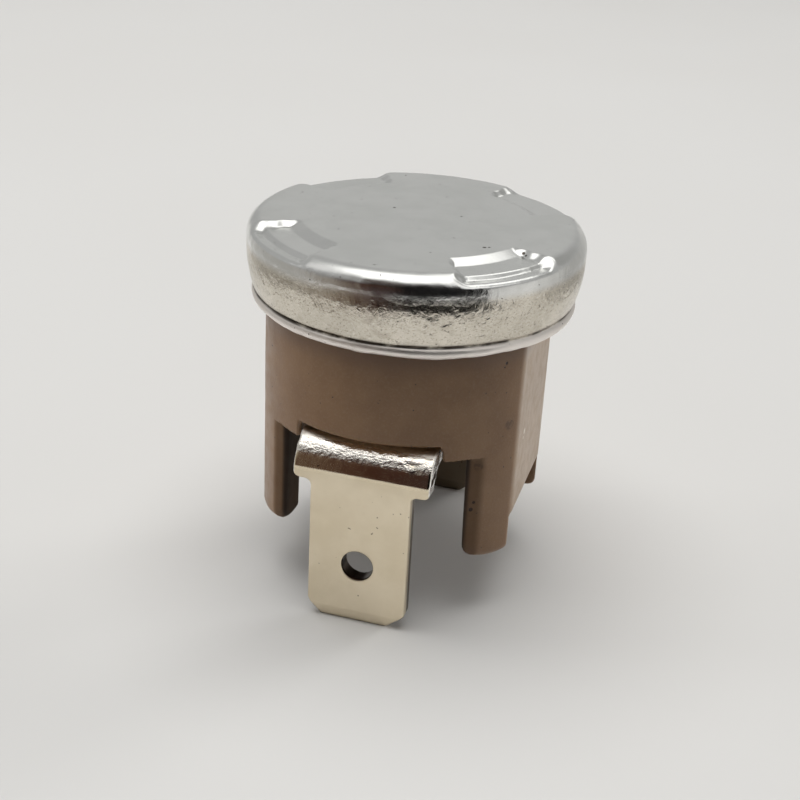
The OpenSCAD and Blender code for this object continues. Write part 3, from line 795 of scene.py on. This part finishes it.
def cap_dents(points, kinds, angle):
    """How far the outer face stands out or in: unevenness, small marks and a rough bead."""
    z = points[:, 2]
    # a little everywhere, and more on the shoulder
    rise = 0.006 * noise(points, 2.5, 1, 2)
    shoulder = smooth(np.hypot(points[:, 0], points[:, 1]), 6.9, 7.4) * smooth(z, 16.6, 17.1)
    rise += (kinds == TOP) * shoulder * 0.022 * noise(points, 1.5, 14, 2)
    # finer on the wall, and most on the bead
    wall = (kinds == WALL) * within(z, WALL_SPAN)
    rough = smooth(z, 16.7, 16.2)
    rise += wall * rough * (0.010 * noise(points, 1.3, 2, 2) + 0.004 * noise(points, 0.45, 3, 2))
    rise += (kinds == BEAD) * (0.030 * noise(points, 1.6, 5, 2) + 0.012 * noise(points, 0.4, 6))
    # short straight marks on the wall, at random places and turned at random
    generator = np.random.default_rng(CAP_SEED)
    around = np.deg2rad(angle) * CAP_R
    whole = 2 * math.pi * CAP_R
    for _ in range(CAP_MARKS):
        at = generator.uniform(0, whole)
        high = generator.uniform(15.0, 16.9)
        long = generator.uniform(0.10, 0.34)
        thin = generator.uniform(0.06, 0.11)
        turn = generator.uniform(0, math.pi)
        depth = generator.choice([-1, -1, 1]) * generator.uniform(0.010, 0.028)
        du = (around - at + whole / 2) % whole - whole / 2
        dv = z - high
        p = du * math.cos(turn) + dv * math.sin(turn)
        q = -du * math.sin(turn) + dv * math.cos(turn)
        rise += wall * rough * depth * np.exp(-(p / long) ** 2 - (q / thin) ** 2)
    return rise


def ring_faces(rows, count):
    """Triangles between rings of points and to one more point in the middle of each end."""
    i = np.arange(rows - 1)[:, None]
    j = np.arange(count)[None, :]
    a = i * count + j
    b = i * count + (j + 1) % count
    quads = np.stack([a, a + count, b + count, b], -1).reshape(-1, 4)
    j = np.arange(count)
    base = (rows - 1) * count
    pole = rows * count
    first = np.stack([np.full(count, pole), j, (j + 1) % count], 1)
    last = np.stack([np.full(count, pole + 1), base + (j + 1) % count, base + j], 1)
    return np.concatenate([quads[:, [0, 1, 2]], quads[:, [0, 2, 3]], first, last])


def build_cap():
    """Cap turned from its section, with the notches pressed in and the outer face uneven."""
    angles = cap_columns(CAP_COLUMNS)
    rows = cap_rows()
    kinds, radius, height = (np.array(column) for column in zip(*rows))
    count = len(angles)
    angle = np.tile(angles, len(rows))
    r = np.repeat(radius, count)
    z = np.repeat(height, count)
    kind = np.repeat(kinds, count)
    # the notches lower the outer face, and the inner face by as much
    share = in_notch(angle, r)
    lowered = np.interp(r, *notch_profile())
    z = np.where((kind == TOP) & (r > 5.3) & (r < 7.95),
                 z + share * np.minimum(lowered - z, 0.0), z)
    drop = np.interp(r, STAKE_R + (STAKE_END_R,),
                     [0, UPPER_LEDGE, UPPER_LEDGE, LOWER_LEDGE, LOWER_LEDGE])
    low = np.minimum(z, CAP_TOP - SHEET - drop)
    z = np.where(kind == UNDER, z + share * (low - z), z)
    turn = np.deg2rad(angle)
    points = np.stack([r * np.cos(turn), r * np.sin(turn), z], 1)
    # the outer face rises and falls along the normal of its section
    section = np.gradient(np.stack([radius, height], 1), axis=0)
    normal = np.stack([-section[:, 1], section[:, 0]], 1)
    normal /= np.linalg.norm(normal, axis=1)[:, None]
    out_r = np.repeat(normal[:, 0], count)
    out_z = np.repeat(normal[:, 1], count)
    outside = kind <= BEAD
    rise = cap_dents(points, kind, angle) * outside
    points[:, 0] += rise * out_r * np.cos(turn)
    points[:, 1] += rise * out_r * np.sin(turn)
    points[:, 2] += rise * out_z
    # crease over the bead, and the bead's own wave
    crease = outside * np.exp(-((z - CREASE_Z) / CREASE_HALF) ** 2)
    crease *= 0.05 + 0.04 * noise(points * [1, 1, 0], 1.8, 12)
    points[:, 0] -= crease * np.cos(turn)
    points[:, 1] -= crease * np.sin(turn)
    rolled = (kind == BEAD) | (kind == LIP)
    points[:, 2] += rolled * 0.035 * noise(points * [1, 1, 0], 3.5, 9)
    points = np.concatenate([points, [[0, 0, CAP_TOP], [0, 0, CAP_TOP - SHEET]]])
    return make_object("cap_shell", points, ring_faces(len(rows), count), MATERIALS["cap"])


# ---------------------------------------------------------------- housing

def housing_field(p):
    """Distance from the housing's surface, with its edges rounded and its corners filleted."""
    x = np.abs(p[:, 0])
    y = p[:, 1]
    far_y = np.abs(y)
    z = p[:, 2]
    radius = np.hypot(x, y)
    edge = HOUSING_EDGE
    # round outside with two flats, the flange that the cap's curl grips, and the chamber
    plan = common(radius - BODY_R, x - FLAT_X, FLAT_EDGE)
    body = common(common(plan, z - BODY_TOP_Z), FLOOR_Z - z, edge)
    curl = np.hypot(radius - CURL_X, z - CURL_Z) - (CURL_R - CURL_GAP)
    flange = common(common(curl, FLANGE_Z - z, edge), z - RIM_Z, edge)
    shell = cut(union(body, flange), common(radius - CHAMBER_R, CHAMBER_Z - z), edge)
    # pedestals, sunk a little into the chamber's wall, and the rear boss
    above = ABOVE_ROOT_Z - z
    in_chamber = radius - CHAMBER_R - 0.05
    front = common(common(in_chamber, y + PEDESTAL_Y, edge),
                   common(z - FRONT_PEDESTAL_Z, above), edge)
    rear = common(common(in_chamber, PEDESTAL_Y - y, edge),
                  common(z - REAR_PEDESTAL_Z, above), edge)
    shell = union(shell, union(front, rear), PEDESTAL_FILLET)
    boss = common(np.hypot(x, y - RIVET_Y) - BOSS_R, common(z - BOSS_Z, above), HOLE_EDGE)
    shell = union(shell, boss)
    # front and rear walls below the floor, and the side walls
    skirt = common(radius - SKIRT_IN_R, x - SLOT_X)
    middle = common(x - SIDE_IN_X, far_y - FOOT_Y)
    open_plan = union(union(skirt, middle), x - NOTCH_X)
    below = z - BELOW_ROOT_Z
    rim = common(common(cut(plan, open_plan, edge), WALL_Z - z, edge), below)
    side = common(common(common(x - FLAT_X, SIDE_IN_X - x, edge), far_y - SIDE_Y), below)
    side = common(common(side, SIDE_Z - z, edge), plan)
    # feet: drafted towards the terminal, a facet beside it, and rounded lower ends
    draft = math.radians(SLOT_DRAFT)
    slot = (SLOT_X + (FLOOR_Z - z) * math.tan(draft) - x) * math.cos(draft)
    slope = math.radians(FACET_SLOPE)
    facet_y = math.sqrt(BODY_R ** 2 - FACET_X ** 2)
    facet = (far_y - facet_y) * math.cos(slope) + (x - FACET_X) * math.sin(slope)
    facet = np.minimum(facet, WALL_Z - z)
    swept = np.clip(far_y - FOOT_END_Y, 0, 2.0)
    low_end = FOOT_Z + FOOT_SWEEP - np.sqrt(FOOT_SWEEP ** 2 - swept ** 2)
    low_end = (low_end - z) * np.sqrt(1 - (swept / FOOT_SWEEP) ** 2)
    foot = common(common(slot, facet, SLOT_EDGE), plan, FACET_EDGE)
    foot = common(foot, low_end, FOOT_END_EDGE)
    foot = common(common(foot, FOOT_Y - far_y, FOOT_EDGE), below)
    shell = union(shell, union(union(rim, side), foot))
    # notches over the strips and the rivets' holes
    notch = common(x - NOTCH_X, common(NOTCH_Y - far_y, z - NOTCH_TOP_Z))
    shell = cut(shell, common(notch, NOTCH_Z - z), edge)
    hole = np.hypot(x, far_y - RIVET_Y) - RIVET_HOLE_R
    return cut(shell, hole, HOLE_EDGE)


def build_housing():
    """Housing from its field, with a faint unevenness."""
    points, quads = surface_net(housing_field, (-7.9, -7.9, 2.8), (7.9, 7.9, 16.1), HOUSING_CELL)
    uneven = 0.010 * noise(points, 2.4, 11, 2)
    points = points + gradient(housing_field, points) * uneven[:, None]
    return make_object("housing_body", points, quads, MATERIALS["housing"])


# ---------------------------------------------------------------- terminals

def strip_field(p):
    """Distance from the surface of a terminal's flat blank."""
    x = p[:, 0]
    s = p[:, 1]
    n = p[:, 2]
    wide = np.abs(x)
    # tab with its two cut corners, which differ as in the photograph
    tab = common(common(wide - TAB_HALF, s - TAB_TOP_S), -s, END_EDGE)
    for side, size in ((-1, TAB_LEFT_X), (1, TAB_RIGHT_X)):
        corner = (side * x - TAB_HALF + size) * TAB_CORNER_S - s * size
        tab = common(tab, corner / math.hypot(TAB_CORNER_S, size), CORNER_EDGE)
    strip = common(wide - STRIP_HALF, STRIP_S - s, SHOULDER_R)
    strip = common(strip, s - STRIP_END_S, END_EDGE)
    outline = union(tab, strip, SHOULDER_R)
    outline = cut(outline, np.hypot(x, s - TAB_HOLE_S) - TAB_HOLE_R)
    outline = cut(outline, np.hypot(x, s - STRIP_HOLE_S) - RIVET_HOLE_R)
    slab = np.maximum(-n, n - TERM_T)
    length = math.hypot(TAB_BEVEL_S, TAB_BEVEL_N)
    lead = (TAB_BEVEL_S - s) * TAB_BEVEL_N
    bevel = np.maximum((lead - n * TAB_BEVEL_S) / length,
                       (lead - (TERM_T - n) * TAB_BEVEL_S) / length)
    return common(outline, np.maximum(slab, bevel), FACE_EDGE)


def build_terminal(name, side, seed):
    """Terminal bent from its flat blank. side is -1 at the front and 1 at the rear."""
    points, quads = surface_net(strip_field, (-3.5, -0.2, -0.2), (3.5, 14.1, 1.0), TERMINAL_CELL)
    normal = gradient(strip_field, points)
    x, s, n = points.T
    # torn and crumpled outer face and rough sheared ends round the bend
    bend = within(s, BEND_SPAN)
    torn = within(s, TORN_SPAN)
    outer = normal[:, 2] < -0.5
    edge = np.abs(normal[:, 0]) > 0.4
    grain = noise(points * [0.35, 1.0, 1.0], 0.16, seed, 2)
    cracks = noise(points * [0.30, 1.0, 1.0], 0.30, seed + 3, 2)
    rise = 0.004 * noise(points, 1.2, seed + 1, 2)
    rise += torn * outer * (0.014 * grain - 0.040 * smooth(cracks, 0.15, 0.6))
    rise += bend * edge * (0.035 * noise(points, 0.4, seed + 2, 2))
    # the sheet bulges at the ends of the bend's inner side and draws in on its outer side
    x = x * (1 + bend * 0.018 * (n - 0.5 * TERM_T) / TERM_T)
    x, s, n = (np.stack([x, s, n], 1) + normal * rise[:, None]).T
    past = np.maximum(s - BEND_S, 0)
    turn = np.clip((s - BEND_S) / BEND_R, 0, math.pi / 2)
    out = BEND_Y + (BEND_R - n) * np.cos(turn)
    out -= np.maximum(past - BEND_R * math.pi / 2, 0)
    up = np.minimum(s, BEND_S) + (BEND_R - n) * np.sin(turn)
    # the sheet turns sharply where the bend starts
    out -= 0.07 * (1 - np.exp(-past / 0.20)) * smooth(s, 10.0, 9.0)
    placed = np.stack([x, side * out, up], 1)
    faces = quads[:, ::-1] if side < 0 else quads
    return make_object(name, placed, faces, MATERIALS["terminal"])


# ---------------------------------------------------------------- pieces

def place_pieces():
    """Dress every CAD node, and put the four rebuilt pieces in place of theirs."""
    for name, material in NODE_MATERIALS.items():
        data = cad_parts[name].data
        data.materials.clear()
        data.materials.append(MATERIALS[material])
    pieces = [
        (build_cap(), "cap", "cap_metal"),
        (build_housing(), "housing", "housing_plastic"),
        (build_terminal("terminal_front_strip", -1, 21), "terminal_front", "terminal_metal"),
        (build_terminal("terminal_rear_strip", 1, 41), "terminal_rear", "terminal_metal"),
    ]
    for piece, node, slot in pieces:
        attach(piece, "body")
        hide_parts(node)


# ---------------------------------------------------------------- stage, lights and camera

def build_floor():
    """Plain pale floor of matt paper."""
    n = Surface("floor_paper")
    n.plain(Roughness=0.85, Specular_IOR_Level=0.2)
    tone = n.mix(n.ramp(n.noise(60.0, 2.0), 0.3, 0.7),
                 colour(0.655, 0.645, 0.624), colour(0.666, 0.658, 0.639))
    n.link(tone, n.shader.inputs["Base Color"])
    mesh = bpy.data.meshes.new("floor")
    h = FLOOR_HALF
    mesh.from_pydata([(-h, -h, 0), (h, -h, 0), (h, h, 0), (-h, h, 0)], [], [(0, 1, 2, 3)])
    mesh.materials.append(n.material)
    floor = bpy.data.objects.new("floor", mesh)
    bpy.context.scene.collection.objects.link(floor)


def build_world():
    """Room round the object: bright overhead, dark in front, and grey behind and at the sides."""
    world = bpy.data.worlds.new("room")
    bpy.context.scene.world = world
    world.use_nodes = True
    n = Nodes(world.node_tree)
    output = n.add("ShaderNodeOutputWorld")
    background = n.add("ShaderNodeBackground")
    n.link(background.outputs[0], output.inputs[0])
    place = n.add("ShaderNodeTexCoord").outputs["Generated"]
    tone = colour(*ROOM_TONE)
    for azimuth, elevation, full, end, patch in ROOM_PATCHES:
        dot = n.add("ShaderNodeVectorMath", operation="DOT_PRODUCT")
        n.link(place, dot.inputs[0])
        dot.inputs[1].default_value = towards(azimuth, elevation)[2]
        near = n.ramp(dot.outputs["Value"], math.cos(math.radians(end)),
                      math.cos(math.radians(full)))
        tone = n.mix(near, tone, colour(*patch))
    # matt surfaces get part of the room's light, and the lamps give the rest
    path = n.add("ShaderNodeLightPath").outputs
    mirrored = n.larger(path["Is Glossy Ray"], path["Is Transmission Ray"])
    scaled = n.add("ShaderNodeVectorMath", operation="SCALE")
    n.link(tone, scaled.inputs[0])
    n.link(n.ramp(mirrored, 0.0, 1.0, ROOM_LIGHT_SHARE, 1.0, "LINEAR"), scaled.inputs["Scale"])
    seen = n.mix(path["Is Camera Ray"], scaled.outputs[0], colour(*BACKDROP_TONE))
    n.link(seen, background.inputs["Color"])
    background.inputs["Strength"].default_value = 1.0


def build_lights():
    """Soft round lamps, which no mirror shows."""
    for name, azimuth, elevation, distance, size, power in LAMPS:
        light = bpy.data.lights.new(name, "AREA")
        light.shape = "DISK"
        light.size = size
        light.energy = power
        lamp = bpy.data.objects.new(name, light)
        right, up, out = towards(azimuth, elevation)
        lamp.matrix_world = pose(right, up, out, out * distance + np.array([0, 0, LAMP_TARGET_Z]))
        lamp.visible_glossy = False
        lamp.visible_camera = False
        bpy.context.scene.collection.objects.link(lamp)


def build_card():
    """Low glowing card round most of the object, dark in front and seen only in its reflections: a
    painted reflection of the room.
    """
    start = CARD_TONES[0][0]
    end = CARD_TONES[-1][0]
    points = []
    for step in range(CARD_STEPS + 1):
        azimuth = math.radians(start + (end - start) / CARD_STEPS * step)
        for z in (0.0, CARD_HEIGHT):
            points.append((CARD_R * math.sin(azimuth), -CARD_R * math.cos(azimuth), z))
    faces = [(2 * i, 2 * i + 2, 2 * i + 3, 2 * i + 1) for i in range(CARD_STEPS)]
    mesh = bpy.data.meshes.new("card")
    mesh.from_pydata(points, [], faces)
    # painted reflection: the card glows with the room's colours and only mirrors show it
    n = Surface("card_painted_reflection")
    n.plain(Base_Color=colour(0, 0, 0), Specular_IOR_Level=0.0, Emission_Strength=1.0)
    x, y, _ = n.axes()
    turn = n.math("ARCTAN2", x, n.times(y, -1.0))
    ramp = n.add("ShaderNodeValToRGB")
    n.link(n.ramp(turn, math.radians(start), math.radians(end), kind="LINEAR"), ramp.inputs[0])
    stops = ramp.color_ramp.elements
    for where, *tone in CARD_TONES[1:-1]:
        stops.new((where - start) / (end - start)).color = colour(*tone)
    stops[0].color = colour(*CARD_TONES[0][1:])
    stops[len(stops) - 1].color = colour(*CARD_TONES[-1][1:])
    n.link(ramp.outputs[0], n.shader.inputs["Emission Color"])
    n.material.cycles.emission_sampling = "NONE"
    mesh.materials.append(n.material)
    card = bpy.data.objects.new("card", mesh)
    card.visible_camera = False
    card.visible_diffuse = False
    card.visible_shadow = False
    bpy.context.scene.collection.objects.link(card)


def build_camera():
    """Camera at the photograph's place."""
    right, up, out = towards(CAMERA_AZIMUTH, CAMERA_ELEVATION)
    roll = math.radians(CAMERA_ROLL)
    target = right * CAMERA_TARGET_RIGHT + np.array([0, 0, CAMERA_TARGET_Z])
    where = (target + out * CAMERA_DISTANCE) * MM
    across = right * math.cos(roll) + up * math.sin(roll)
    upward = -right * math.sin(roll) + up * math.cos(roll)
    data = bpy.data.cameras.new("camera")
    data.sensor_width = SENSOR
    data.lens = CAMERA_FOCAL_PIXELS / PICTURE_PIXELS * SENSOR
    data.clip_start = 0.002
    data.clip_end = 10.0
    camera = bpy.data.objects.new("camera", data)
    camera.matrix_world = pose(across, upward, out, where)
    bpy.context.scene.collection.objects.link(camera)
    bpy.context.scene.camera = camera


build_camera()
place_pieces()
build_floor()
build_world()
build_lights()
build_card()
bpy.context.scene.view_settings.view_transform = "Standard"
